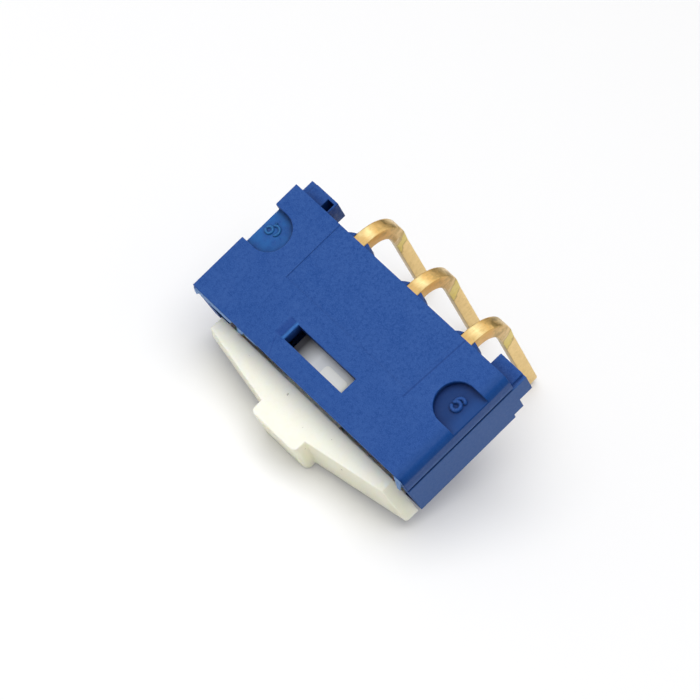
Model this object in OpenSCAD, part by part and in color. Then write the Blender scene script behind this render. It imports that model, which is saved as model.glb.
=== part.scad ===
// Right-angle miniature slide switch, single pole, two positions.
// X runs along the terminal row, -Y faces the slider, +Z faces away from the board.
// The origin is the centre of the underside, which seats on the board.

/* [Housing] */
// Length of the housing along the terminal row
housing_l = 10; // [9.6:0.1:13]
// Depth of the housing from its slider face to its terminal face
housing_w = 4.6; // [4.4:0.1:6]
// Height of the base moulding, up to the parting line
base_h = 1.74; // [1.66:0.02:2.4]
// Height of the cover moulding, above the parting line
cover_h = 0.76; // [0.7:0.02:1.2]
// Thickness of the cover's top plate
plate_t = 0.4; // [0.35:0.01:0.6]
// Depth of the cover's front lip, which keeps the slider in
lip_t = 0.35; // [0.25:0.01:0.5]
// Distance that the lip's lower part is set back above the slot
lip_back = 0.12; // [0.05:0.01:0.15]
// Height of the lip's square edge above that
lip_edge = 0.15; // [0.1:0.01:0.25]
// Thickness of the base's floor
floor_t = 0.24; // [0.2:0.01:0.5]
// Radius along the top edge of the right end, the left one being square
end_r = 0.32; // [0.05:0.01:0.4]
// Draft of the base's front face, from its top to its foot
front_draft = 0.05; // [0:0.01:0.1]
// Depth into each end of the groove at the parting line
groove_d = 0.14; // [0.05:0.01:0.25]
// Height of the groove at the parting line
groove_h = 0.1; // [0.04:0.01:0.15]

/* [Top Face] */
// Length of the window over the slider's carriage
window_l = 2.7; // [1.5:0.1:3.2]
// Width of the window
window_w = 0.63; // [0.3:0.01:0.9]
// Distance of the window's middle from the slider face
window_y = 1.06; // [0.9:0.01:1.3]
// Radius of the round recess at each end
recess_r = 0.74; // [0.5:0.01:0.9]
// Depth of the round recesses
recess_d = 0.22; // [0.1:0.01:0.35]
// Reach of the left recess from its end of the housing
recess_left = 1.28; // [1:0.01:1.6]
// Reach of the right recess from its end of the housing
recess_right = 1.39; // [1:0.01:1.6]
// Distance of the recesses' middle from the slider face
recess_y = 2.94; // [2:0.01:3.4]
// Distance that the cover's left end is set back below its recess
recess_back = 0.1; // [0:0.01:0.2]
// Length of the sunk panel left by the mould's insert
panel_l = 5.76; // [4:0.01:6]
// Distance of the panel's front edge from the slider face
panel_y = 2.21; // [1.8:0.01:3]
// Depth of the panel
panel_d = 0.025; // [0.01:0.005:0.05]

/* [Feet] */
// Length of each lug on the terminal face
lug_l = 1.15; // [0.8:0.01:1.4]
// Distance that the lugs stand out
lug_d = 0.54; // [0.3:0.01:0.8]
// Distance that the left lug stands past its end of the housing
lug_past = 0.13; // [0:0.01:0.2]
// Height of the lugs' underside
lug_z = 0.74; // [0.4:0.01:1]
// Depth of the relief along the rear edge of the underside
relief_d = 0.4; // [0.2:0.01:0.6]
// Height of that relief
relief_h = 0.2; // [0.1:0.01:0.4]

/* [Slider] */
// Length of the slider's wings from tip to tip, along their top
slider_l = 8.2; // [7.6:0.1:8.6]
// Distance by which each tip reaches further at its foot
flare = 0.6; // [0:0.05:0.7]
// Free travel of the slider between its two stops
travel = 1; // [0.8:0.05:1.2]
// Place of the slider from the middle of its travel
slider_at = 0.25; // [-0.4:0.05:0.4]
// Distance that the wings stand out beside the knob
wing_d = 1.08; // [0.8:0.01:1.4]
// Distance that the wings stand out at their tips
wing_tip_d = 0.55; // [0.3:0.01:0.8]
// Distance by which the wings' front reaches further at its foot
wing_foot = 0.1; // [0:0.01:0.2]
// Length of the knob
knob_l = 2.1; // [1.6:0.05:3]
// Distance that the knob stands out
knob_d = 1.56; // [1.3:0.01:2.4]
// Radius of the knob's corners
knob_r = 0.2; // [0.05:0.01:0.3]
// Length of the carriage inside the cover
carriage_l = 2.8; // [2.6:0.1:3.2]
// Height of the rail that runs in the slot
rail_h = 0.72; // [0.5:0.02:0.8]
// Thickness of the neck between the wings and the carriage
neck_t = 0.2; // [0.15:0.01:0.3]
// Running clearance round the slider
run_gap = 0.04; // [0.02:0.01:0.08]
// Gap that is left at each stop
stop_gap = 0.01; // [0:0.005:0.03]

/* [Terminals] */
// Distance between neighbouring terminals
pitch = 2.54; // [2.4:0.01:2.7]
// Width of a terminal's strap
strap_w = 0.52; // [0.4:0.01:0.7]
// Thickness of a terminal's strap
strap_t = 0.5; // [0.3:0.01:0.6]
// Height of the strap's top
strap_top = 1.39; // [1.3:0.01:1.5]
// Distance of the legs' outer side from the terminal face
reach = 1.53; // [1.4:0.01:2]
// Outer radius of the bend
bend_r = 1.27; // [0.8:0.01:1.3]
// Width of a leg below its shoulder
leg_w = 0.36; // [0.3:0.01:0.5]
// Thickness of a leg below its shoulder
leg_t = 0.45; // [0.3:0.01:0.5]
// Length of the legs below the board seat
leg_l = 4.3; // [3:0.05:5]
// Height of the shoulder's upper edge
shoulder_z = 0.05; // [-0.3:0.05:0.2]
// Length of the shoulder's taper
shoulder_l = 0.6; // [0.3:0.05:0.9]

/* [Contacts] */
// Thickness of the fixed contacts inside the housing
pad_t = 0.25; // [0.15:0.01:0.3]
// Width of the middle fixed contact
pad_w = 1.5; // [1.3:0.05:1.6]
// Gap between neighbouring fixed contacts
pad_gap = 0.2; // [0.15:0.01:0.3]
// Thickness of the bridge's spring strip
bridge_t = 0.08; // [0.05:0.01:0.12]
// Width of the bridge's spring strip
bridge_w = 0.7; // [0.5:0.05:0.9]
// Distance between the bridge's two contact points
bridge_span = 1.8; // [1.6:0.05:1.9]
// Gap left between a contact point and the fixed contacts
contact_gap = 0.02; // [0.01:0.01:0.05]

/* [Hidden] */

eps = 0.05;
arc_steps = 8;
front_y = -housing_w / 2;
back_y = housing_w / 2;
top_z = base_h + cover_h;

// The slot in the front, in which the slider's rail runs behind its wings
slot_l = slider_l + travel + 2 * stop_gap;
slot_depth = 0.6;
wing_y = front_y - run_gap;
slider_z0 = 0.03;
slider_z1 = base_h - run_gap;
rail_z0 = floor_t + run_gap;
rail_y = front_y + slot_depth - run_gap;

// The wings' front edge from above: its slope, and its place beside a point along the slider
tip_r = 0.15;
wing_slope = (wing_d - wing_tip_d) / (slider_l / 2 - knob_l / 2);
function wing_front(x) = front_y - wing_d + wing_slope * (x - knob_l / 2);

// The chamber in the base: its room past the outer straps' middles, and the wall behind it
chamber_past = 0.41;
chamber_l = 2 * (pitch + chamber_past);
rear_wall = 0.85;
chamber_y = back_y - rear_wall;

// The fixed contacts and the shelf that they lie on
shelf_z = strap_top - strap_t;
shelf_y = -0.5;
pad_top = shelf_z + pad_t;
pad_y = -0.3;
side_pad_x = pad_w / 2 + pad_gap;

// The carriage, its clearance over the fixed contacts, and the hood that it runs under
carriage_gap = 0.05;
carriage_y0 = front_y + lip_t + run_gap;
carriage_y1 = 0.95;
carriage_z0 = pad_top + carriage_gap;
carriage_z1 = top_z - plate_t - run_gap;
hood_l = carriage_l + travel + 2 * run_gap;
hood_y = carriage_y1 + run_gap;

// The bridge: its middle, its lift between the dips, half the length of a dip and its turned-up ends
bridge_y = 0.3;
bridge_low = pad_top + contact_gap;
bridge_rise = 0.2;
bridge_dip = 0.35;
bridge_end = 0.3;
bridge_end_rise = 0.6 * bridge_rise;
bridge_l = bridge_span + 2 * bridge_end;

// The bridge's pocket under the carriage
pocket_gap = 0.03;
pocket_l = bridge_l + 2 * pocket_gap;
pocket_w = bridge_w + 2 * pocket_gap;
pocket_z = bridge_low + bridge_rise + bridge_t;

// The cover's pegs and their sockets in the base
peg_r = 0.3;
peg_l = 0.6;
peg_gap = 0.02;
peg_x = (chamber_l / 2 + housing_l / 2) / 2;
peg_y = 0.3;

// How far each strap reaches into the chamber over its fixed contact, and the chamfers at a leg's tip
strap_in = 0.2;
tip_t = 0.12;
tip_w = 0.1;

// The collar that holds each strap between its cheeks on the base's rear face
collar_r = 0.75;
collar_out = 0.34;
collar_z0 = shelf_z - 0.3;
collar_z1 = strap_top - 0.01;

// The pocket in the left lug's top, and the wall left at the lug's inner end
lug_pocket_l = 0.28;
lug_pocket_w = 0.42;
lug_wall = 0.07;

function arc(x, y, r, a0, a1) =
    [for (i = [0 : arc_steps]) [x + r * cos(a0 + (a1 - a0) * i / arc_steps), y + r * sin(a0 + (a1 - a0) * i / arc_steps)]];

// A block given by two opposite corners
module block(a, b) {
    translate(a)
        cube(b - a);
}

// Copies at both ends
module both_ends() {
    children();
    mirror([1, 0, 0])
        children();
}

// The cover's front outline, with its right top edge rounded, drawn across its depth
module cover_shell() {
    x = housing_l / 2;
    outline = concat(
        [[-x, top_z], [-x, base_h], [x, base_h]],
        arc(x - end_r, top_z - end_r, end_r, 0, 90));
    translate([0, back_y, 0])
        rotate([90, 0, 0])
            linear_extrude(housing_w)
                polygon(outline);
}

// A recess that is half round and runs out through one end
module end_recess(reach_in) {
    y = front_y + recess_y;
    x = housing_l / 2 - reach_in + recess_r;
    z = top_z - recess_d;
    translate([x, y, z])
        cylinder(r = recess_r, h = recess_d + eps, $fn = 48);
    block([x, y - recess_r, z], [housing_l / 2 + eps, y + recess_r, top_z + eps]);
}

module cover() {
    color("royalblue")
        union() {
            difference() {
                cover_shell();
                // window
                block([-window_l / 2, front_y + window_y - window_w / 2, base_h - eps],
                      [window_l / 2, front_y + window_y + window_w / 2, top_z + eps]);
                // hood over the carriage
                block([-hood_l / 2, front_y + lip_t, base_h - eps], [hood_l / 2, hood_y, top_z - plate_t]);
                end_recess(recess_right);
                mirror([1, 0, 0])
                    end_recess(recess_left);
                // left end below its recess
                block([-housing_l / 2 - eps, front_y + recess_y - recess_r, base_h - eps],
                      [-housing_l / 2 + recess_back, front_y + recess_y + recess_r, top_z + eps]);
                // lip above the slot, below its square edge
                block([-slot_l / 2, front_y - eps, base_h - eps], [slot_l / 2, front_y + lip_back, top_z - lip_edge]);
                // panel left by the mould's insert, open to the rear
                block([-panel_l / 2, front_y + panel_y, top_z - panel_d], [panel_l / 2, back_y + eps, top_z + eps]);
            }
            both_ends()
                translate([peg_x, peg_y, base_h - peg_l])
                    cylinder(r = peg_r, h = peg_l + eps, $fn = 32);
        }
}

// One lug on the rear face, which may stand past its end of the housing
module lug(past) {
    block([housing_l / 2 - lug_l, back_y - eps, lug_z], [housing_l / 2 + past, back_y + lug_d, base_h]);
}

// The base's body: its outline from the side, with the front's draft and the rear's relief
module base_body() {
    outline = [
        [front_y, base_h], [front_y + front_draft, 0], [back_y - relief_d, 0], [back_y - relief_d, relief_h],
        [back_y, relief_h], [back_y, base_h]];
    translate([-housing_l / 2, 0, 0])
        rotate([90, 0, 90])
            linear_extrude(housing_l)
                polygon(outline);
}

// A rounded collar that the strap lies in
module collar(x) {
    translate([x, back_y + collar_out - collar_r, collar_z0])
        cylinder(r = collar_r, h = collar_z1 - collar_z0, $fn = 40);
}

module base() {
    terminal_x = [-pitch, 0, pitch];
    color("royalblue")
        difference() {
            union() {
                base_body();
                lug(0);
                mirror([1, 0, 0])
                    lug(lug_past);
                for (x = terminal_x)
                    collar(x);
            }
            // slot for the wings, open to the front and the top
            block([-slot_l / 2, front_y - eps, floor_t], [slot_l / 2, front_y + slot_depth, base_h + eps]);
            // chamber for the carriage, with a shelf for the fixed contacts
            block([-chamber_l / 2, front_y, shelf_z], [chamber_l / 2, chamber_y, base_h + eps]);
            block([-chamber_l / 2, front_y, floor_t], [chamber_l / 2, shelf_y, base_h + eps]);
            // ways for the straps through the rear wall and between the collars' cheeks
            for (x = terminal_x)
                translate([x - strap_w / 2, 0, 0])
                    rotate([90, 0, 90])
                        linear_extrude(strap_w)
                            terminal_side();
            // sockets for the cover's pegs
            both_ends()
                translate([peg_x, peg_y, base_h - peg_l - peg_gap])
                    cylinder(r = peg_r + peg_gap, h = peg_l + peg_gap + eps, $fn = 32);
            // groove along the parting line at each end, lugs included
            both_ends()
                block([housing_l / 2 - groove_d, front_y - eps, base_h - groove_h],
                      [housing_l / 2 + lug_past + eps, back_y + lug_d + eps, base_h + eps]);
            // pocket in the top of the left lug
            translate([-housing_l / 2 + lug_l - lug_wall, back_y, 0])
                block([-lug_pocket_l, -eps, lug_z + lug_pocket_l], [0, lug_pocket_w, base_h + eps]);
        }
}

// The wings' outline from above, at their foot
module wings_outline() {
    k = knob_l / 2;
    tip = slider_l / 2 + flare;
    right = concat(
        [[k, wing_front(k) - wing_foot]],
        arc(tip - tip_r, wing_front(slider_l / 2) - wing_foot + tip_r, tip_r, -80, 0),
        [[tip, wing_y]]);
    left = [for (i = [len(right) - 1 : -1 : 0]) [-right[i][0], right[i][1]]];
    polygon(concat(right, left));
}

// The wings from the front, with flared ends
module wings_front_view() {
    top = slider_l / 2;
    foot = top + flare;
    translate([0, wing_y, 0])
        rotate([90, 0, 0])
            linear_extrude(knob_d)
                polygon([[-foot, slider_z0], [foot, slider_z0], [top, slider_z1], [-top, slider_z1]]);
}

// What the draft takes off the front of the right wing
module wing_draft() {
    k = knob_l / 2;
    translate([k, wing_front(k), slider_z1])
        rotate([-atan(wing_foot / (slider_z1 - slider_z0)), 0, atan(wing_slope)])
            block([-knob_r, -knob_d, -2 * base_h], [slider_l, 0, eps]);
}

module wings() {
    difference() {
        intersection() {
            translate([0, 0, slider_z0])
                linear_extrude(slider_z1 - slider_z0)
                    wings_outline();
            wings_front_view();
        }
        both_ends()
            wing_draft();
    }
}

// The square knob with rounded corners
module knob() {
    k = knob_l / 2;
    y = front_y - knob_d + knob_r;
    translate([0, 0, slider_z0])
        linear_extrude(slider_z1 - slider_z0)
            polygon(concat(
                arc(k - knob_r, y, knob_r, -90, 0),
                [[k, wing_y], [-k, wing_y]],
                arc(knob_r - k, y, knob_r, 180, 270)));
}

module slider() {
    color("ivory")
        translate([slider_at, 0, 0])
            difference() {
                union() {
                    wings();
                    knob();
                    // rail in the slot
                    block([-slider_l / 2, wing_y - eps, rail_z0], [slider_l / 2, rail_y, rail_z0 + rail_h]);
                    // neck under the cover's lip
                    block([-carriage_l / 2, wing_y - eps, carriage_z0],
                          [carriage_l / 2, carriage_y1, carriage_z0 + neck_t]);
                    // carriage behind the lip
                    block([-carriage_l / 2, carriage_y0, carriage_z0], [carriage_l / 2, carriage_y1, carriage_z1]);
                }
                // pocket for the bridge, open below
                block([-pocket_l / 2, bridge_y - pocket_w / 2, carriage_z0 - eps],
                      [pocket_l / 2, bridge_y + pocket_w / 2, pocket_z]);
            }
}

// Height of the bridge's lower side: flat in the middle, with one dip to each side
function bridge_z(x) =
    let (dip = bridge_span / 2, flat = dip - bridge_dip, u = min(1, max(0, (abs(x) - flat) / bridge_dip)))
    abs(x) <= dip ? bridge_low + bridge_rise * (1 + cos(180 * u)) / 2
                  : bridge_low + bridge_end_rise * pow((abs(x) - dip) / bridge_end, 2);

module contact_bridge() {
    steps = 36;
    xs = [for (i = [0 : steps]) bridge_l * (i / steps - 0.5)];
    under = [for (x = xs) [x, bridge_z(x)]];
    over = [for (i = [steps : -1 : 0]) [xs[i], bridge_z(xs[i]) + bridge_t]];
    color("goldenrod")
        translate([slider_at, bridge_y + bridge_w / 2, 0])
            rotate([90, 0, 0])
                linear_extrude(bridge_w)
                    polygon(concat(under, over));
}

// The strap, its bend and its leg from the side, in Y and Z
module terminal_side() {
    y = back_y + reach;
    inner_r = bend_r - strap_t;
    z = strap_top - bend_r;
    low = -leg_l;
    outer = arc(y - bend_r, z, bend_r, 90, 0);
    inner = arc(y - bend_r, z, inner_r, 0, 90);
    polygon(concat(
        [[chamber_y - strap_in, shelf_z], [chamber_y - strap_in, strap_top]],
        outer,
        [[y, low + tip_t], [y - tip_t, low], [y - leg_t + tip_t, low], [y - leg_t, low + tip_t]],
        [[y - leg_t, shoulder_z - shoulder_l], [y - strap_t, shoulder_z]],
        inner));
}

// The strap and leg from behind, in X and Z: wide above the shoulder, narrow below it
module terminal_front() {
    a = strap_w / 2;
    b = leg_w / 2;
    low = -leg_l;
    right = [
        [a, strap_top + eps], [a, shoulder_z], [b, shoulder_z - shoulder_l], [b, low + tip_w], [b - tip_w, low - eps]];
    left = [for (i = [len(right) - 1 : -1 : 0]) [-right[i][0], right[i][1]]];
    polygon(concat(right, left));
}

module terminal(x, pad_x0, pad_x1) {
    color("gold")
        union() {
            intersection() {
                translate([x - strap_w, 0, 0])
                    rotate([90, 0, 90])
                        linear_extrude(2 * strap_w)
                            terminal_side();
                translate([x, back_y + reach + eps, 0])
                    rotate([90, 0, 0])
                        linear_extrude(housing_w + reach)
                            terminal_front();
            }
            block([pad_x0, pad_y, shelf_z], [pad_x1, chamber_y, pad_top]);
        }
}

module terminal_left() {
    terminal(-pitch, -pitch - strap_w / 2, -side_pad_x);
}

module terminal_common() {
    terminal(0, -pad_w / 2, pad_w / 2);
}

module terminal_right() {
    terminal(pitch, side_pad_x, pitch + strap_w / 2);
}

cover();
base();
slider();
contact_bridge();
terminal_left();
terminal_common();
terminal_right();
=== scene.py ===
"""The looks of a miniature right-angle slide switch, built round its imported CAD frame."""
import math

import bmesh
import bpy
from mathutils import Matrix, Vector


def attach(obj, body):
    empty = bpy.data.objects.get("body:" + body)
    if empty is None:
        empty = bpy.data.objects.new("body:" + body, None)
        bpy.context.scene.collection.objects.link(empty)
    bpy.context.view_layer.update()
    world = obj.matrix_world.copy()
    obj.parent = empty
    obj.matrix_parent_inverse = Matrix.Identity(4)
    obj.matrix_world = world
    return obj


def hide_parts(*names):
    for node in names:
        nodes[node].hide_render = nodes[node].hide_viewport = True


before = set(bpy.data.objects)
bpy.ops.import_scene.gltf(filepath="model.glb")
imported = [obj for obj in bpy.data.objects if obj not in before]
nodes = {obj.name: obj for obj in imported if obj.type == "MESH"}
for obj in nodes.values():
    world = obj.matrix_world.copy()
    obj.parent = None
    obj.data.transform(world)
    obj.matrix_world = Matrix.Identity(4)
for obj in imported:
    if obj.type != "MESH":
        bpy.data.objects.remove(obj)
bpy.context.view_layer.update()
scene = bpy.context.scene
MM = 0.001

# Camera: the direction from the object to the camera, and how far it is turned about that line
TO_CAMERA_X, TO_CAMERA_Y = 0.430, -0.0913
CAMERA_ROLL = 33.52
CAMERA_DISTANCE = 140.31 * MM
LENS_PX = 4500.0
IMAGE_PX = 700.0
SENSOR = 36.0
CLIP_NEAR, CLIP_FAR = 0.005, 5
# The cover's front top edge, at its middle, and where the image shows it
ANCHOR = Vector((0, -2.3 * MM, 2.5 * MM))
ANCHOR_PX = (295.64, 382.51)

# Sizes in mm, as in the CAD source
HOUSING_Y, PARTING_Z = 2.3, 1.74
RECESS_Z, RECESS_Y = 2.28, 0.64
STRAP_TOP, STRAP_T, STRAP_W = 1.39, 0.5, 0.52
BEND_R, LEG_Y, LEG_W, LEG_T, LEG_LOW = 1.27, 3.83, 0.36, 0.45, -4.3
SHOULDER_Z, SHOULDER_L = 0.05, 0.6
PAD_TOP, PAD_Y0, PAD_Y1 = 1.14, -0.3, 1.45
PITCH = 2.54
TERMINAL_X = (-PITCH, 0, PITCH)
# Each terminal, its place, and its contact pad's left and right ends
TERMINALS = (
    ("terminal_left", -PITCH, -2.8, -0.95),
    ("terminal_common", 0.0, -0.75, 0.75),
    ("terminal_right", PITCH, 0.95, 2.8))

# The surface that the switch lies on touches the knob's lower edge and the tips of the legs
FLOOR_POINT = Vector((0, -3.86, 0.03))
FLOOR_UP = Vector((0, 0.507, 0.862)).normalized()


def make_camera():
    back = Vector((TO_CAMERA_X, TO_CAMERA_Y, math.sqrt(1 - TO_CAMERA_X**2 - TO_CAMERA_Y**2)))
    up = (Vector((0, 0, 1)) - back.z * back).normalized()
    right = up.cross(back)
    roll = math.radians(CAMERA_ROLL)
    image_right = math.cos(roll) * right - math.sin(roll) * up
    image_up = math.sin(roll) * right + math.cos(roll) * up
    offset_x = (ANCHOR_PX[0] - IMAGE_PX / 2) / LENS_PX * CAMERA_DISTANCE
    offset_y = (ANCHOR_PX[1] - IMAGE_PX / 2) / LENS_PX * CAMERA_DISTANCE
    place = ANCHOR + back * CAMERA_DISTANCE - image_right * offset_x + image_up * offset_y
    data = bpy.data.cameras.new("camera")
    data.lens = LENS_PX / IMAGE_PX * SENSOR
    data.sensor_width = SENSOR
    data.clip_start = CLIP_NEAR
    data.clip_end = CLIP_FAR
    camera = bpy.data.objects.new("camera", data)
    turn = Matrix((image_right, image_up, back)).transposed()
    camera.matrix_world = Matrix.Translation(place) @ turn.to_4x4()
    scene.collection.objects.link(camera)
    scene.camera = camera


# ---------------------------------------------------------------- materials


class Nodes:
    """A material's node tree, with short calls for the nodes that the materials share."""

    def __init__(self, name):
        self.material = bpy.data.materials.new(name)
        self.material.use_nodes = True
        self.tree = self.material.node_tree
        self.shader = self.tree.nodes["Principled BSDF"]
        self.output = self.tree.nodes["Material Output"]
        place = self.tree.nodes.new("ShaderNodeTexCoord").outputs["Object"]
        self.mm = self.scaled((1 / MM,) * 3, place)

    def add(self, kind, values=None, links=None, **settings):
        node = self.tree.nodes.new(kind)
        for key, value in settings.items():
            setattr(node, key, value)
        for key, value in (values or {}).items():
            node.inputs[key].default_value = value
        for key, source in (links or {}).items():
            self.tree.links.new(source, node.inputs[key])
        return node

    def scaled(self, scale, vector):
        return self.add("ShaderNodeMapping", {"Scale": scale}, {"Vector": vector}).outputs[0]

    def noise(self, scale, detail=2.0, rough=0.5, vector=None):
        values = {"Scale": scale, "Detail": detail, "Roughness": rough}
        return self.add("ShaderNodeTexNoise", values, {"Vector": vector or self.mm}).outputs["Fac"]

    def span(self, value, low, high, to_low=0.0, to_high=1.0):
        settings = {"From Min": low, "From Max": high, "To Min": to_low, "To Max": to_high}
        return self.add("ShaderNodeMapRange", settings, {"Value": value}).outputs["Result"]

    def math(self, operation, a, b=None):
        node = self.tree.nodes.new("ShaderNodeMath")
        node.operation = operation
        for socket, value in zip(node.inputs, (a, b)):
            if isinstance(value, (int, float)):
                socket.default_value = value
            elif value is not None:
                self.tree.links.new(value, socket)
        return node.outputs[0]

    def product(self, first, *others):
        for other in others:
            first = self.math("MULTIPLY", first, other)
        return first

    def mix(self, factor, a, b, blend="MIX"):
        node = self.tree.nodes.new("ShaderNodeMix")
        node.data_type = "RGBA"
        node.blend_type = blend
        for socket, value in ((node.inputs[0], factor), (node.inputs[6], a), (node.inputs[7], b)):
            if isinstance(value, tuple):
                socket.default_value = (*value, 1)
            elif isinstance(value, (int, float)):
                socket.default_value = value
            else:
                self.tree.links.new(value, socket)
        return node.outputs[2]

    def ramp(self, value, stops):
        node = self.add("ShaderNodeValToRGB", links={"Fac": value})
        ramp = node.color_ramp
        while len(ramp.elements) < len(stops):
            ramp.elements.new(0.5)
        for element, (at, color) in zip(ramp.elements, stops):
            element.position = at
            element.color = (*color, 1)
        return node.outputs["Color"]

    def dot(self, vector, direction):
        node = self.add("ShaderNodeVectorMath", {1: direction}, {0: vector}, operation="DOT_PRODUCT")
        return node.outputs["Value"]

    def axis(self, direction):
        """How far a point lies along a direction, in mm."""
        return self.dot(self.mm, direction)

    def facing(self, direction):
        """How much a surface looks in a direction, from -1 to 1."""
        return self.dot(self.add("ShaderNodeTexCoord").outputs["Normal"], direction)

    def bump(self, height, distance_mm, strength=1.0):
        node = self.add(
            "ShaderNodeBump", {"Strength": strength, "Distance": distance_mm * MM}, {"Height": height})
        self.tree.links.new(node.outputs["Normal"], self.shader.inputs["Normal"])

    def set(self, **values):
        for key, value in values.items():
            socket = self.shader.inputs[key.replace("_", " ")]
            if isinstance(value, bpy.types.NodeSocket):
                self.tree.links.new(value, socket)
            elif isinstance(value, tuple) and len(value) == 3 and len(socket.default_value) == 4:
                socket.default_value = (*value, 1)
            else:
                socket.default_value = value


# The housing's plastic, as its base, its light clouds and grain, and its dark mottle
BLUE = ((0.010, 0.063, 0.262), (0.029, 0.093, 0.315), (0.003, 0.043, 0.215))
DULL_BLUE = ((0.012, 0.062, 0.25), (0.03, 0.09, 0.30), (0.006, 0.046, 0.2))
# Painted lighter, as lit, for the numeral in the left recess
LIT_BLUE = ((0.018, 0.12, 0.33), (0.045, 0.18, 0.42), (0.008, 0.08, 0.26))
THIN_BLUE = ((0.12, 0.25, 0.52), (0.2, 0.34, 0.6), (0.07, 0.18, 0.45))
# Single places on the housing
# Painted shade on the right recess's floor, and painted light on the left recess's floor
RIGHT_RECESS_SHADE = (0.004, 0.033, 0.145)
LEFT_RECESS_LIGHT = (0.014, 0.112, 0.36)
# Painted shade of the dip beyond the window's left end, and painted highlight on its rim
WINDOW_DIP_SHADE = (0.004, 0.035, 0.2)
WINDOW_RIM_HIGHLIGHT = (0.03, 0.14, 0.42)
SLANT_LINE = (0.004, 0.035, 0.2)
# Painted shade along the right step of the sunk panel
PANEL_STEP_SHADE = (0.003, 0.03, 0.17)
# Painted shade on the slope at the right end, and painted reflection on the end face below it
END_SLOPE_SHADE = (0.008, 0.053, 0.215)
END_FACE_REFLECTION = (0.035, 0.105, 0.31)
CORNER_SHADE = (0.001, 0.012, 0.075)
CORNER_REACH = 0.55 * MM
# The slider
CREAM = (0.985, 0.965, 0.825)
CREAM_CLOUDS = (0.975, 0.962, 0.85)
CREAM_MOTTLE = (0.95, 0.925, 0.77)
CREAM_SIDE_SHADE = (0.90, 0.87, 0.66)
# Painted shade on the carriage in the window, and painted shadow at its ends
CARRIAGE_SHADE = (0.56, 0.575, 0.59)
CARRIAGE_RIGHT_SHADE = (0.40, 0.40, 0.36)
CARRIAGE_LEFT_SHADOW = (0.02, 0.02, 0.025)
SCATTER_COLORS = (1.0, 0.75, 0.42)
SCATTER_DEPTH = 0.5 * MM
SPECK_DARK = (0.42, 0.39, 0.31)
SPECK_LIGHT = (0.66, 0.62, 0.52)
# The terminals: the plating from about where the strap leaves the housing, at 0, to the leg's tip, at 1
# Its light and dark bands are painted reflection: a highlight at 0.10, and dark lines at 0.385 and 0.475
# round the shoulder's facet
PLATING_AND_REFLECTIONS = [
    (0.0, (0.82, 0.53, 0.21)), (0.05, (0.84, 0.56, 0.22)), (0.10, (0.97, 0.80, 0.40)),
    (0.15, (0.90, 0.57, 0.20)), (0.21, (0.84, 0.56, 0.22)), (0.28, (0.74, 0.54, 0.24)),
    (0.35, (0.88, 0.66, 0.36)), (0.385, (0.40, 0.27, 0.07)), (0.395, (0.66, 0.52, 0.12)),
    (0.465, (0.68, 0.54, 0.14)), (0.475, (0.42, 0.30, 0.09)), (0.49, (0.82, 0.59, 0.25)),
    (1.0, (0.76, 0.55, 0.23))]
# Painted shade on the terminals' sides, oranger near the root
SIDE_SHADE_ROOT = (0.60, 0.33, 0.10)
SIDE_SHADE_BEND = (0.62, 0.46, 0.24)
# Painted shade on the leg's inner face
INNER_FACE_SHADE = (0.38, 0.27, 0.11)
SCRATCHES = (0.60, 0.40, 0.13)
SPOTS = (0.50, 0.36, 0.13)
# Painted dark reflection over the bend
BEND_DARK_REFLECTION = (0.36, 0.25, 0.09)
# The bridge
SPRING_LIGHT = (0.82, 0.66, 0.38)
SPRING_DARK = (0.72, 0.55, 0.28)
# The studio
PAPER = (0.81, 0.81, 0.815)
CARD_COLOR = (0.34, 0.30, 0.22)


def recess_light_and_shade(n, color, x, y, z):
    """The floor of the right recess has painted shade, darker than the top. The left one has painted light in
    patches.
    """
    from_middle = n.math("ABSOLUTE", n.math("SUBTRACT", y, RECESS_Y))
    floors = n.product(
        n.span(z, 2.30, 2.44, 1.0, 0.0), n.span(z, 2.22, 2.25), n.span(from_middle, 0.75, 0.8, 1.0, 0.0))
    color = n.mix(n.product(floors, n.span(x, 3.3, 3.4)), color, RIGHT_RECESS_SHADE)
    # Painted light in patches on the left recess's floor
    lit_patches = n.product(n.span(n.noise(2.6, 3, 0.6), 0.35, 0.6, 0.2, 0.85), n.span(x, -3.6, -3.9))
    return n.mix(n.product(floors, lit_patches), color, LEFT_RECESS_LIGHT)


def window_edges(n, color, x, y, top):
    """The painted highlight on the rim at the window's left end, the painted shade of the dip beyond it, and
    the relief that they make.
    """
    beside = n.product(n.span(y, -1.62, -1.55), n.span(y, -0.92, -0.85, 1.0, 0.0), top)
    wavy = n.math("ADD", x, n.span(n.noise(3.0, 2), 0.3, 0.7, -0.03, 0.03))
    rim = n.product(n.span(wavy, -1.50, -1.45), beside, n.span(wavy, -1.40, -1.34, 1.0, 0.0))
    band = n.product(n.span(wavy, -1.82, -1.68), beside, n.span(wavy, -1.52, -1.46, 1.0, 0.0))
    color = n.mix(n.product(band, 0.6), color, WINDOW_DIP_SHADE)
    color = n.mix(n.product(rim, 0.8), color, WINDOW_RIM_HIGHLIGHT)
    return color, n.math("SUBTRACT", n.product(rim, 9.0), n.product(band, 5.0))


def dark_line(n, color, across, core, edge, where, strength, shade):
    """A faint line on the top. Across is the distance from it, and it fades from core to edge."""
    line = n.span(n.math("ABSOLUTE", across), core, edge, 1.0, 0.0)
    return n.mix(n.product(line, *where, strength), color, shade)


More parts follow.
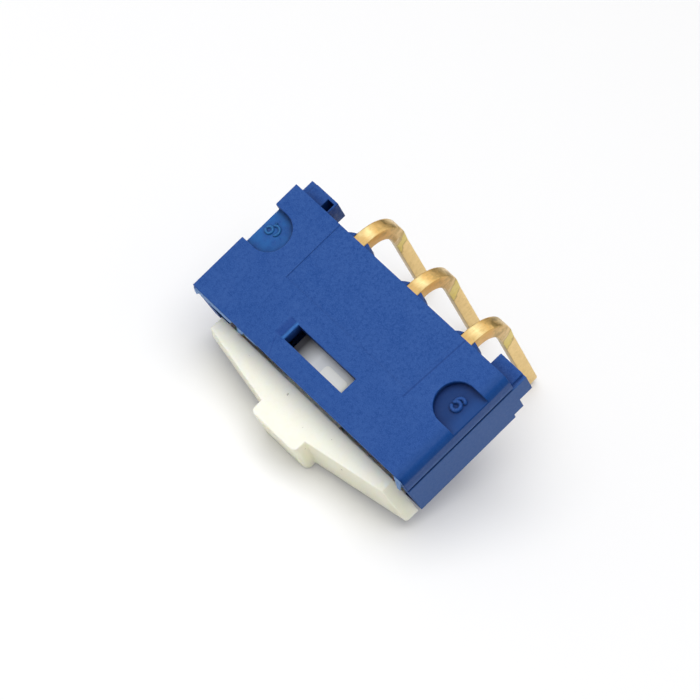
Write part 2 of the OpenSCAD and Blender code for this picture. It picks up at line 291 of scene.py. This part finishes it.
def dark_lines(n, color, x, y, z, top):
    """Faint dark lines on the top: one from the window's corner, and painted shade along the sunk panel's
    right step.
    """
    # From the window's corner to the front edge
    slant = n.math("ADD", n.axis((1, 0.5147, 0)), n.span(n.noise(2.0, 2), 0.3, 0.7, -0.02, 0.02))
    where = (top, n.span(y, -1.66, -1.6, 1.0, 0.0), n.span(x, -1.9, -1.8))
    color = dark_line(n, color, n.math("ADD", slant, 2.504), 0.0, 0.05, where, 0.5, SLANT_LINE)
    # Painted shade along the right step of the sunk panel
    slant = n.math("SUBTRACT", n.axis((1, -0.0516, 0)), 2.93)
    where = (n.span(z, 2.45, 2.46), n.span(y, -0.36, -0.3))
    return dark_line(n, color, slant, 0.01, 0.045, where, 0.6, PANEL_STEP_SHADE)


def end_shade_and_reflection(n, color, x, z):
    """The slope at the right end has painted shade, and the end face below it a painted reflection, lighter.
    """
    upper = n.span(z, 1.8, 1.95)
    color = n.mix(n.product(n.span(x, 4.45, 4.75, 0.0, 0.7), upper), color, END_SLOPE_SHADE)
    lower = n.math("SUBTRACT", 1.0, upper)
    return n.mix(n.product(n.span(x, 4.93, 4.98, 0.0, 0.8), lower), color, END_FACE_REFLECTION)


def housing_plastic(name, blues, specular, corner_dark=0.8, places=False):
    """Fine matt moulded plastic: spark-eroded grain, faint clouds of colour, and painted shade in its
    corners.
    """
    base, light, dark = blues
    n = Nodes(name)
    clouds = n.noise(1.1, 3, 0.6)
    mottle = n.noise(9.0, 3, 0.65)
    grain = n.noise(26.0, 2, 0.6)
    color = n.mix(n.span(clouds, 0.3, 0.7, 0.0, 0.5), base, light)
    color = n.mix(n.span(mottle, 0.40, 0.70, 0.0, 0.8), color, dark)
    color = n.mix(n.span(grain, 0.45, 0.72, 0.0, 0.8), color, light)
    relief = n.math("ADD", grain, n.product(mottle, 0.6))
    if places:
        x, y, z = (n.axis(d) for d in ((1, 0, 0), (0, 1, 0), (0, 0, 1)))
        top = n.span(z, 2.47, 2.49)
        color = recess_light_and_shade(n, color, x, y, z)
        color, edges = window_edges(n, color, x, y, top)
        color = dark_lines(n, color, x, y, z, top)
        color = end_shade_and_reflection(n, color, x, z)
        relief = n.math("ADD", relief, edges)
    # The slope at the right end reflects less
    endways = n.facing((1, 0, 0))
    slope = n.product(n.span(endways, 0.3, 0.6), n.span(endways, 0.93, 0.98, 1.0, 0.0))
    sheen = n.span(slope, 0.0, 1.0, specular, 0.25 * specular)
    # Painted shade in corners and hollows, by how little sky each point sees, weaker on the top
    open_sky = n.add("ShaderNodeAmbientOcclusion", {"Distance": CORNER_REACH}, samples=8).outputs["AO"]
    corner = n.span(open_sky, 0.45, 0.97, corner_dark, 0.0)
    corner = n.product(corner, n.span(n.axis((0, 0, 1)), 2.44, 2.46, 1.0, 0.25))
    color = n.mix(corner, color, CORNER_SHADE)
    n.set(Base_Color=color, Specular_IOR_Level=sheen)
    n.set(Roughness=n.span(mottle, 0.3, 0.7, 0.5, 0.62))
    n.bump(relief, 0.006, 0.55)
    return n.material


def slider_plastic(name="slider_plastic", depth=0.45):
    """Warm white plastic that lets some light through, a little greyer in clouds, with a fine grain and
    painted shade.
    """
    n = Nodes(name)
    clouds = n.noise(0.9, 3, 0.6)
    mottle = n.noise(11.0, 3, 0.6)
    color = n.mix(n.span(clouds, 0.35, 0.7, 0.0, 0.6), CREAM, CREAM_CLOUDS)
    color = n.mix(n.span(mottle, 0.45, 0.8, 0.0, 0.5), color, CREAM_MOTTLE)
    # Painted shade on the sides, the more the less they face up
    color = n.mix(n.span(n.facing((0, 0, 1)), 0.4, 0.9, 0.5, 0.0), color, CREAM_SIDE_SHADE)
    # The carriage inside the window has painted shade, and a painted shadow darkest at its left end. On its
    # boss the shade is weaker
    x, y = n.axis((1, 0, 0)), n.axis((0, 1, 0))
    inside = n.span(y, -2.2, -2.1)
    window_shade = n.mix(n.span(x, 0.9, 1.35), CARRIAGE_SHADE, CARRIAGE_RIGHT_SHADE)
    window_shade = n.mix(n.span(x, -0.95, -0.25, 1.0, 0.0), window_shade, CARRIAGE_LEFT_SHADOW)
    color = n.mix(n.product(inside, 1.0 if depth else 0.7), color, window_shade)
    n.set(Base_Color=color, Specular_IOR_Level=0.3)
    n.set(Subsurface_Weight=n.span(inside, 0.0, 0.1, depth, 0.0))
    n.set(Subsurface_Radius=SCATTER_COLORS, Subsurface_Scale=SCATTER_DEPTH)
    n.set(Roughness=n.span(mottle, 0.3, 0.7, 0.42, 0.52))
    n.bump(mottle, 0.006, 0.4)
    return n.material


def terminal_metal():
    """Satin plated brass, with painted reflection: bright near the root and darker where it is stretched over
    the bend.
    """
    n = Nodes("terminal_metal")
    wander = n.span(n.noise(2.2, 3, 0.6), 0.25, 0.75, -0.22, 0.22)
    along = n.math("ADD", n.axis((0, 1, -1)), wander)
    color = n.ramp(n.span(along, 0.8, 8.2), PLATING_AND_REFLECTIONS)
    # The sides were cut, and have painted shade, oranger near the root
    sideways = n.span(n.math("ABSOLUTE", n.facing((1, 0, 0))), 0.6, 0.8)
    side_shade = n.mix(n.span(along, 2.2, 3.6), SIDE_SHADE_ROOT, SIDE_SHADE_BEND)
    color = n.mix(n.product(sideways, n.span(along, 3.3, 3.7, 0.8, 0.0)), color, side_shade)
    # Painted shade on the leg's inner face, which looks towards the housing
    inner = n.span(n.facing((0, -1, 0)), 0.6, 0.8)
    color = n.mix(n.product(inner, n.span(along, 3.7, 4.1, 0.0, 0.75)), color, INNER_FACE_SHADE)
    lines = n.noise(1.0, 3, 0.6, n.scaled((26.0, 5.0, 5.0), n.mm))
    spots = n.noise(7.0, 4, 0.65)
    color = n.mix(n.span(lines, 0.4, 0.75, 0.0, 0.3), color, SCRATCHES)
    color = n.mix(n.span(spots, 0.54, 0.74, 0.0, 0.35), color, SPOTS)
    # Painted dark reflection in patches, where the strip was stretched over the bend
    bend_dark = n.product(
        n.span(n.noise(3.4, 3, 0.6), 0.46, 0.62), n.span(along, 1.9, 2.3),
        n.span(along, 3.1, 3.5, 1.0, 0.0), 0.75)
    color = n.mix(bend_dark, color, BEND_DARK_REFLECTION)
    n.set(Base_Color=color, Metallic=1.0)
    n.set(Roughness=n.span(spots, 0.3, 0.7, 0.30, 0.42))
    n.bump(n.math("ADD", lines, spots), 0.004, 0.5)
    return n.material


def spring_metal():
    """Springy strip with fine lines along X."""
    n = Nodes("spring_metal")
    lines = n.noise(1.0, 3, 0.6, n.scaled((3.0, 30.0, 3.0), n.mm))
    n.set(Base_Color=n.mix(lines, SPRING_LIGHT, SPRING_DARK), Metallic=1.0)
    n.set(Roughness=n.span(lines, 0.3, 0.7, 0.22, 0.34))
    n.bump(lines, 0.003, 0.4)
    return n.material


def speck_material():
    """Brown-grey moulding specks."""
    n = Nodes("specks")
    tone = n.noise(14.0, 3, 0.6)
    n.set(Base_Color=n.mix(tone, SPECK_DARK, SPECK_LIGHT), Roughness=0.7, Specular_IOR_Level=0.2)
    n.bump(tone, 0.004, 0.4)
    return n.material


def floor_material():
    """White paper. Seen directly it is a little brighter, so that it stays white outside the shadow."""
    n = Nodes("floor")
    path = n.add("ShaderNodeLightPath")
    seen = n.math("MAXIMUM", path.outputs["Is Camera Ray"], path.outputs["Is Glossy Ray"])
    seen = n.math("MAXIMUM", seen, path.outputs["Is Transmission Ray"])
    n.set(Base_Color=PAPER, Roughness=1.0, Specular_IOR_Level=0.0)
    n.set(Emission_Color=(1.0, 1.0, 1.0), Emission_Strength=n.math("MULTIPLY", seen, FLOOR_LIFT))
    # From below it isn't in the way
    clear = n.add("ShaderNodeBsdfTransparent").outputs[0]
    back = n.add("ShaderNodeNewGeometry").outputs["Backfacing"]
    mixed = n.add("ShaderNodeMixShader", None, {0: back, 1: n.shader.outputs[0], 2: clear})
    n.tree.links.new(mixed.outputs[0], n.output.inputs["Surface"])
    return n.material


# ---------------------------------------------------------------- meshes


def metric_mesh(name, bm, material):
    """A mesh in metres from a bmesh in mm, which is freed."""
    bmesh.ops.scale(bm, vec=(MM,) * 3, verts=bm.verts)
    mesh = bpy.data.meshes.new(name)
    bm.to_mesh(mesh)
    bm.free()
    mesh.materials.append(material)
    return mesh


def finish_mesh(name, bm, material, smooth_angle):
    """A mesh that is smooth but for the edges sharper than an angle in degrees."""
    bmesh.ops.recalc_face_normals(bm, faces=bm.faces)
    for edge in bm.edges:
        edge.smooth = len(edge.link_faces) == 2 and edge.calc_face_angle(0) < math.radians(smooth_angle)
    mesh = metric_mesh(name, bm, material)
    mesh.polygons.foreach_set("use_smooth", [True] * len(mesh.polygons))
    return mesh


def add_piece(name, bm, material, body, slot, *stands_for, smooth_angle=35.0):
    piece = bpy.data.objects.new(name, finish_mesh(name, bm, material, smooth_angle))
    scene.collection.objects.link(piece)
    flat = piece.modifiers.new("normals", "WEIGHTED_NORMAL")
    flat.keep_sharp = True
    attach(piece, body)
    if stands_for:
        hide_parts(*stands_for)
    return piece


def cad_shape(node, weld):
    """A node's own shape as a bmesh in mm, with its flat faces whole."""
    bm = bmesh.new()
    bm.from_mesh(nodes[node].data)
    bmesh.ops.scale(bm, vec=(1 / MM,) * 3, verts=bm.verts)
    bmesh.ops.remove_doubles(bm, verts=bm.verts, dist=weld)
    bmesh.ops.dissolve_limit(bm, angle_limit=math.radians(0.3), verts=bm.verts, edges=bm.edges)
    return bm


def round_edges(bm, width, chosen, segments=3, least_angle=24.0):
    edges = []
    for edge in bm.edges:
        if len(edge.link_faces) != 2 or edge.calc_face_angle(0) < math.radians(least_angle):
            continue
        middle = (edge.verts[0].co + edge.verts[1].co) / 2
        if chosen(middle, edge.verts[1].co - edge.verts[0].co):
            edges.append(edge)
    bmesh.ops.bevel(
        bm, geom=edges, offset=width, offset_type="OFFSET", segments=segments, profile=0.5,
        affect="EDGES", clamp_overlap=False, loop_slide=True)


def skin(bm, rings):
    """Joins rings of points with quads and closes both ends."""
    rows = [[bm.verts.new(p) for p in ring] for ring in rings]
    count = len(rows[0])
    for a, b in zip(rows, rows[1:]):
        for i in range(count):
            j = (i + 1) % count
            bm.faces.new((a[i], a[j], b[j], b[i]))
    bm.faces.new(rows[0])
    bm.faces.new(rows[-1])


def round_box(half_u, half_v, radius, steps=3):
    """A rectangle with rounded corners, as points in U and V."""
    points = []
    for corner, (su, sv) in enumerate(((1, 1), (-1, 1), (-1, -1), (1, -1))):
        for i in range(steps + 1):
            a = math.radians(90 * (corner + i / steps))
            u = su * (half_u - radius) + radius * math.cos(a)
            v = sv * (half_v - radius) + radius * math.sin(a)
            points.append((u, v))
    return points


def sweep(bm, path, width, height, up, sink, taper):
    """A half-round bead along a path, lying on a surface whose normal is up."""
    profile = []
    for i in range(7):
        a = math.pi * i / 6
        profile.append((math.cos(a) * width / 2, math.sin(a) * height))
    profile += [(-width / 2, -sink - 0.001), (width / 2, -sink - 0.001)]
    rings = []
    for i, point in enumerate(path):
        ahead = path[min(i + 1, len(path) - 1)]
        behind = path[max(i - 1, 0)]
        side = (ahead - behind).cross(up).normalized()
        end = i in (0, len(path) - 1)
        scale = taper if end else 1.0
        rings.append([point + side * u * scale + up * (v * scale if v > 0 else v) for u, v in profile])
    skin(bm, rings)


def housing_pieces(blue):
    """The cover and the base with rounded edges, but for those that are hidden or too close together."""
    def cover_edges(middle, along):
        inside = abs(middle.x) < 4.5 and middle.y > -1.96 and middle.z < 2.3
        rear = middle.y > 2.29 and middle.z > 2.4
        panel = abs(middle.x) < 2.9 and middle.y > -0.1 and middle.z > 2.4
        return middle.z > PARTING_Z - 0.01 and not inside and not rear and not panel and along.length > 0.03

    bm = cad_shape("cover", 0.0238)
    round_edges(bm, 0.03, cover_edges)
    add_piece("cover_shell", bm, blue, "housing", "housing_plastic", "cover")

    def base_edges(middle, along):
        inside = abs(middle.x) < 4.55 and -1.75 < middle.y < 1.5 and middle.z > 0.1
        way = middle.y > 1.4 and any(abs(abs(middle.x - x) - STRAP_W / 2) < 0.02 for x in TERMINAL_X)
        root = any(abs(middle.x - x) < 0.3 for x in TERMINAL_X) and middle.y > 2.2
        return not inside and not way and not root and along.length > 0.06

    bm = cad_shape("base", 0.012)
    round_edges(bm, 0.025, base_edges)
    add_piece("base_shell", bm, blue, "housing", "housing_plastic", "base")


def slider_piece(cream):
    """The slider with rounded edges on its knob and wings, and finer ones on the carriage's top."""
    def outer_edges(middle, along):
        return middle.y < -2.35 and middle.z > 0.2 and along.length > 0.03

    def carriage_edges(middle, along):
        return middle.y > -2.3 and middle.z > 1.9

    bm = cad_shape("slider", 0.03)
    round_edges(bm, 0.05, outer_edges)
    round_edges(bm, 0.025, carriage_edges, 2)
    add_piece("slider_shell", bm, cream, "slider", "slider_plastic", "slider")


def terminal_stations():
    """Sections along the strip: outer and inner point in Y and Z, half the width, and the corners' radius."""
    bend_y, bend_z = LEG_Y - BEND_R, STRAP_TOP - BEND_R
    inner_r = BEND_R - STRAP_T
    stations = []
    for y in (PAD_Y1, 2.0, 2.3, 2.45):
        stations.append(((y, STRAP_TOP), (y, STRAP_TOP - STRAP_T), STRAP_W / 2, 0.05))
    steps = 28
    for i in range(steps + 1):
        a = math.radians(90 * i / steps)
        outer = (bend_y + BEND_R * math.sin(a), bend_z + BEND_R * math.cos(a))
        inner = (bend_y + inner_r * math.sin(a), bend_z + inner_r * math.cos(a))
        # The strip draws in a little where it is bent
        draw = 0.012 * math.sin(2 * a)
        stations.append((outer, inner, STRAP_W / 2 - draw, 0.055))
    # The shoulder, then the leg
    low = SHOULDER_Z - SHOULDER_L
    straight = (
        (SHOULDER_Z + 0.02, STRAP_T, STRAP_W),
        (SHOULDER_Z - 0.02, STRAP_T - 0.002, STRAP_W - 0.01),
        (low + 0.03, LEG_T + 0.002, LEG_W + 0.008),
        (low - 0.03, LEG_T, LEG_W),
        (-1.5, LEG_T, LEG_W),
        (-2.5, LEG_T, LEG_W),
        (-3.5, LEG_T, LEG_W),
        (LEG_LOW + 0.2, LEG_T, LEG_W))
    for z, t, w in straight:
        stations.append(((LEG_Y, z), (LEG_Y - t, z), w / 2, 0.05))
    # The tip: how far above its end, and what is cut from each face and each side
    tip = ((0.12, 0.015, 0.01), (0.055, 0.05, 0.04), (0.015, 0.1, 0.08), (0.0, 0.15, 0.11))
    for rise, cut_t, cut_w in tip:
        z = LEG_LOW + rise
        stations.append(((LEG_Y - cut_t, z), (LEG_Y - LEG_T + cut_t, z), LEG_W / 2 - cut_w, 0.045))
    return stations


def terminal_piece(name, x, pad_x0, pad_x1, metal):
    """A terminal with the rolled edges of stamped strip: strap, bend, tapered shoulder and pointed leg."""
    rings = []
    for outer, inner, half_w, radius in terminal_stations():
        outer, inner = Vector((x, *outer)), Vector((x, *inner))
        up = (outer - inner).normalized()
        half_t = (outer - inner).length / 2
        middle = (outer + inner) / 2
        ring = round_box(half_w, half_t, min(radius, half_w * 0.8, half_t * 0.8))
        rings.append([middle + Vector((u, 0, 0)) + up * v for u, v in ring])
    bm = bmesh.new()
    skin(bm, rings)
    pad_half = (pad_x1 - pad_x0) / 2
    pad_mid = (pad_x0 + pad_x1) / 2
    pad_z = (PAD_TOP + STRAP_TOP - STRAP_T) / 2
    section = round_box(pad_half, PAD_TOP - pad_z, 0.03)
    ends = (PAD_Y0, PAD_Y1 - 0.001)
    skin(bm, [[Vector((pad_mid + u, y, pad_z + v)) for u, v in section] for y in ends])
    add_piece(name + "_strip", bm, metal, "housing", "terminal_metal", name)


def arc(cx, cy, r, a0, a1, steps):
    points = []
    for i in range(steps + 1):
        a = math.radians(a0 + (a1 - a0) * i / steps)
        points.append((cx + r * math.cos(a), cy + r * math.sin(a)))
    return points


def numerals(right_blue, left_blue):
    """Raised marks on the floors of the recesses: a 6 at the right, and an unreadable one at the left."""
    six = (
        arc(0, 0, 0.15, 180, -170, 20),
        [(-0.15, 0.02), (-0.13, 0.14)] + arc(0.03, 0.16, 0.15, 165, 20, 8))
    unread = (
        arc(0, 0, 0.12, 180, -170, 16),
        arc(0.16, 0.1, 0.17, 150, -60, 10),
        [(0.02, 0.33), (0.04, 0.31), (0.05, 0.28)])
    for name, x, y, strokes, wide, high, material in (
            ("cavity_number_right", 4.33, 0.61, six, 0.15, 0.10, right_blue),
            ("cavity_number_left", -4.60, 0.66, unread, 0.10, 0.055, left_blue)):
        bm = bmesh.new()
        for stroke in strokes:
            path = [Vector((x + u, y + v, RECESS_Z)) for u, v in stroke]
            sweep(bm, path, wide, high, Vector((0, 0, 1)), 0.01, 0.6)
        add_piece(name, bm, material, "housing", "housing_plastic", smooth_angle=60)


def ragged(u, seed):
    """A smooth irregular value between 0 and 1 along an edge."""
    slow = 0.22 * math.sin(9.1 * u + seed)
    quick = 0.16 * math.sin(23.7 * u + 2.3 * seed)
    fine = 0.1 * math.sin(51 * u + seed)
    return 0.5 + slow + quick + fine


def film(bm, x0, x1, top_z, drop, lean, steps, seed):
    """A thin ragged film of flash that hangs from the cover's front edge."""
    rows = []
    for i in range(steps + 1):
        u = i / steps
        end = min(1.0, 5 * u, 5 * (1 - u)) ** 0.5
        length = drop * end * (0.62 + 0.38 * ragged(u * (x1 - x0), seed)) + 0.03
        row = []
        for thick in (0.0, 0.014):
            for j in range(4):
                v = j / 3 if thick == 0.0 else 1 - j / 3
                y = -HOUSING_Y - 0.003 - lean * v * v - thick * (1 - 0.4 * v)
                row.append(Vector((x0 + (x1 - x0) * u, y, top_z - length * v)))
        rows.append(row)
    skin(bm, rows)


# Films of flash: from X to X, top, drop, lean, steps and seed
FILMS = (
    (-4.82, -3.1, 2.47, 0.3, 0.035, 60, 1.3),
    (-2.5, -1.9, 2.47, 0.1, 0.01, 20, 2.2),
    (4.84, 4.995, 2.46, 0.35, 0.02, 10, 4.0))
# Each flake is a thin plate between an outline on the edge and its free tip
FLAKES = (
    ("flash_burr", (
        (-4.99, -2.297, 2.36), (-4.72, -2.297, 2.40), (-4.76, -2.33, 2.2),
        (-4.86, -2.36, 2.08), (-4.9, -2.37, 2.0), (-4.95, -2.35, 2.15))),
    ("flash_tab", (
        (4.62, -2.297, 2.48), (4.95, -2.297, 2.49), (4.93, -2.36, 2.2),
        (4.84, -2.42, 1.86), (4.7, -2.43, 1.8), (4.66, -2.37, 2.1))),
    ("flash_flake", (
        (-2.86, -2.297, 2.44), (-2.5, -2.295, 2.49), (-2.56, -2.34, 2.38), (-2.76, -2.37, 2.3))))
# How far each layer of a flake stands out, and its share of the outline
FLAKE_LAYERS = ((0.0, 0.97), (0.006, 1.0), (0.02, 1.0), (0.026, 0.93))


def flash_pieces(pale):
    """Flash on the cover's front edge: ragged films, a burr and a flake at the left, a tab at the right."""
    bm = bmesh.new()
    for measures in FILMS:
        film(bm, *measures)
    add_piece("flash_film", bm, pale, "housing", "housing_plastic", smooth_angle=60)
    for name, outline in FLAKES:
        bm = bmesh.new()
        middle = sum((Vector(p) for p in outline), Vector()) / len(outline)
        rings = []
        for depth, share in FLAKE_LAYERS:
            rings.append([middle + (Vector(p) - middle) * share + Vector((0, -depth, 0)) for p in outline])
        skin(bm, rings)
        add_piece(name, bm, pale, "housing", "housing_plastic", smooth_angle=50)


# The carriage's boss: its middle, and how far each layer rises with its share of the outline
BOSS_X, BOSS_Y, BOSS_Z = 0.62, -1.42, 2.06
BOSS_LAYERS = ((-0.01, 1.0), (0.004, 1.0), (0.012, 0.96), (0.016, 0.88))
# Specks: place, the way the surface faces, and radius
SPECKS = (
    ((-0.283, -2.67, 1.7), (0, 0, 1), 0.04),
    ((0.9, -3.1, 1.7), (0, 0, 1), 0.012),
    ((2.79, -3.2, 1.52), (0.17, -0.98, 0.1), 0.03),
    ((1.3, -3.5, 1.3), (1, 0, 0), 0.022),
    ((-2.2, -2.62, 1.7), (0, 0, 1), 0.01),
    ((1.9, -2.75, 1.7), (0, 0, 1), 0.014))
SPECK_LAYERS = ((-0.004, 1.0), (0.003, 0.85), (0.006, 0.45))
SPECK_POINTS = 10


def boss_piece(window_shade):
    """The boss on the carriage that shows in the window."""
    bm = bmesh.new()
    outline = round_box(0.5, 0.26, 0.14, 5)
    rings = []
    for rise, share in BOSS_LAYERS:
        rings.append([Vector((BOSS_X + u * share, BOSS_Y + v * share, BOSS_Z + rise)) for u, v in outline])
    skin(bm, rings)
    add_piece("carriage_boss", bm, window_shade, "slider", "slider_plastic")


def specks_piece(dirt):
    """Low irregular specks on the slider."""
    bm = bmesh.new()
    for place, normal, size in SPECKS:
        place, normal = Vector(place), Vector(normal).normalized()
        side = normal.orthogonal().normalized()
        other = normal.cross(side)
        rings = []
        for rise, share in SPECK_LAYERS:
            ring = []
            for i in range(SPECK_POINTS):
                a = 2 * math.pi * i / SPECK_POINTS
                r = size * share * (1 + 0.25 * math.sin(2 * a + place.x) + 0.15 * math.sin(3 * a))
                ring.append(place + side * r * math.cos(a) + other * r * math.sin(a) + normal * rise)
            rings.append(ring)
        skin(bm, rings)
    add_piece("slider_specks", bm, dirt, "slider", "slider_plastic", smooth_angle=80)


make_camera()
blue = housing_plastic("housing_plastic", BLUE, 0.3, places=True)
cream = slider_plastic()
brass = terminal_metal()
spring = spring_metal()
for s in nodes["contact_bridge"].material_slots:
    s.material = spring
housing_pieces(blue)
slider_piece(cream)
for name, x, pad_x0, pad_x1 in TERMINALS:
    terminal_piece(name, x, pad_x0, pad_x1, brass)
dull_blue = housing_plastic("housing_plastic_dull", DULL_BLUE, 0.3, 0.5)
# The left numeral is painted lighter, as lit, like its recess's floor
lit_blue = housing_plastic("housing_plastic_lit", LIT_BLUE, 0.35, 0.5)
numerals(dull_blue, lit_blue)
flash_pieces(housing_plastic("housing_plastic_thin", THIN_BLUE, 0.4, 0.25))
boss_piece(slider_plastic("slider_plastic_boss", 0.0))
specks_piece(speck_material())


# ---------------------------------------------------------------- studio

WORLD_FILL = 0.42
LAMP_DISTANCE = 120 * MM
# Direction to each lamp, its size in mm and its power
LAMPS = (("softbox", (0.0, 0.40, 0.915), 150, 0.139), ("window", (-0.43, 0.53, 0.73), 42, 0.004))
# The floor's own light where it is seen directly, its half size, and how far below the switch it lies
FLOOR_LIFT = 0.10
FLOOR_HALF = 200.0
FLOOR_DROP = 0.004
# The card's distance in mm, and its rows and columns in degrees
CARD_RADIUS = 70.0
CARD_ELEVATIONS = (6, 18, 32)
CARD_TURNS = range(-80, 25, 8)


def make_world():
    world = bpy.data.worlds.new("world")
    scene.world = world
    world.use_nodes = True
    tree = world.node_tree
    plain = tree.nodes["Background"]
    plain.inputs["Strength"].default_value = WORLD_FILL
    plain.inputs["Color"].default_value = (1, 1, 1, 1)
    white = tree.nodes.new("ShaderNodeBackground")
    white.inputs["Color"].default_value = (1, 1, 1, 1)
    path = tree.nodes.new("ShaderNodeLightPath")
    seen = path.outputs["Is Camera Ray"]
    for name in ("Is Glossy Ray", "Is Transmission Ray"):
        either = tree.nodes.new("ShaderNodeMath")
        either.operation = "MAXIMUM"
        tree.links.new(seen, either.inputs[0])
        tree.links.new(path.outputs[name], either.inputs[1])
        seen = either.outputs[0]
    mix = tree.nodes.new("ShaderNodeMixShader")
    tree.links.new(seen, mix.inputs[0])
    tree.links.new(plain.outputs[0], mix.inputs[1])
    tree.links.new(white.outputs[0], mix.inputs[2])
    tree.links.new(mix.outputs[0], tree.nodes["World Output"].inputs["Surface"])


def make_lamps():
    for name, to, size_mm, power in LAMPS:
        to = Vector(to).normalized()
        data = bpy.data.lights.new(name, "AREA")
        data.shape = "DISK"
        data.size = size_mm * MM
        data.energy = power
        lamp = bpy.data.objects.new(name, data)
        lamp.location = to * LAMP_DISTANCE
        lamp.rotation_mode = "QUATERNION"
        lamp.rotation_quaternion = to.to_track_quat("Z", "Y")
        lamp.visible_camera = False
        lamp.visible_glossy = name == "window"
        scene.collection.objects.link(lamp)


def make_card():
    """A dark card beyond the terminals, low over the floor, that only reflections show."""
    ahead = Vector((0, FLOOR_UP.z, -FLOOR_UP.y))
    bm = bmesh.new()
    rows = []
    for elevation in CARD_ELEVATIONS:
        row = []
        for turn in CARD_TURNS:
            e, a = math.radians(elevation), math.radians(turn)
            flat = ahead * math.cos(a) + Vector((1, 0, 0)) * math.sin(a)
            row.append(bm.verts.new((flat * math.cos(e) + FLOOR_UP * math.sin(e)) * CARD_RADIUS))
        rows.append(row)
    for a, b in zip(rows, rows[1:]):
        for i in range(len(a) - 1):
            bm.faces.new((a[i], a[i + 1], b[i + 1], b[i]))
    n = Nodes("dark_card")
    n.set(Base_Color=CARD_COLOR, Roughness=1.0, Specular_IOR_Level=0.0)
    card = bpy.data.objects.new("dark_card", metric_mesh("dark_card", bm, n.material))
    for ray in ("camera", "diffuse", "shadow", "transmission", "volume_scatter"):
        setattr(card, "visible_" + ray, False)
    scene.collection.objects.link(card)


def make_floor():
    along = Vector((1, 0, 0))
    across = FLOOR_UP.cross(along)
    bm = bmesh.new()
    middle = FLOOR_POINT - FLOOR_UP * FLOOR_DROP
    corners = [bm.verts.new(middle + (along * u + across * v) * FLOOR_HALF)
               for u, v in ((-1, -1), (1, -1), (1, 1), (-1, 1))]
    bm.faces.new(corners)
    floor = bpy.data.objects.new("floor", metric_mesh("floor", bm, floor_material()))
    scene.collection.objects.link(floor)


make_world()
make_lamps()
make_card()
make_floor()
scene.view_settings.view_transform = "Standard"
